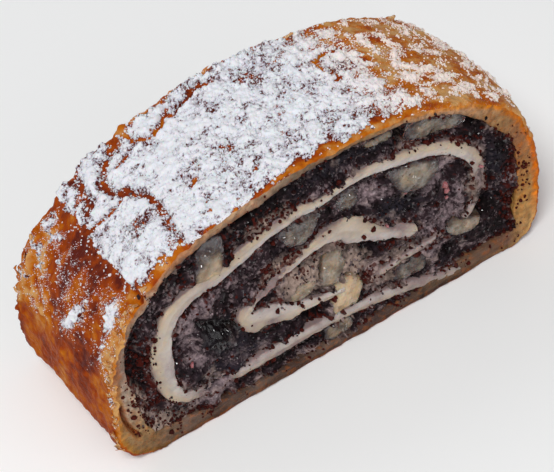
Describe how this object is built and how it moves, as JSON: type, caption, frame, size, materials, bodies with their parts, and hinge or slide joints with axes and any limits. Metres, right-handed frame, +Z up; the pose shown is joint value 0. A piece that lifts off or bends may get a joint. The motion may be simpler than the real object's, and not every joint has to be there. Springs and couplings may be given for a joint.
{
  "type": "poppy seed strudel slice",
  "caption": "Slice cut across a rolled poppy seed strudel: browned dough wrapped round a spiral of dough and dark poppy filling with apple pieces.",
  "frame": {"origin": "middle of the slice's underside, under the middle of its box", "axes": "+X across the slice, along its width; +Y from the front cut to the rear cut; +Z up"},
  "size_m": [0.105, 0.0342, 0.0529],
  "materials": {
    "dough": "baked yeast dough, browned and glossy outside, cream coloured at the cuts",
    "filling": "ground poppy seed filling, dark grey violet, moist and grainy",
    "apple": "baked apple, translucent grey green to pale yellow, wet"
  },
  "bodies": {
    "root": {"apple_front_1": "apple", "apple_front_2": "apple", "apple_front_3": "apple", "apple_front_4": "apple", "apple_front_5": "apple", "apple_front_6": "apple", "apple_front_7": "apple", "apple_front_8": "apple", "apple_front_9": "apple", "apple_front_10": "apple", "apple_front_11": "apple", "apple_front_12": "apple", "apple_rear_1": "apple", "apple_rear_2": "apple", "apple_rear_3": "apple", "apple_rear_4": "apple", "apple_rear_5": "apple", "apple_rear_6": "apple", "apple_rear_7": "apple", "apple_rear_8": "apple", "rolled_dough": "dough", "poppy_filling": "filling"}
  },
  "joints": []
}
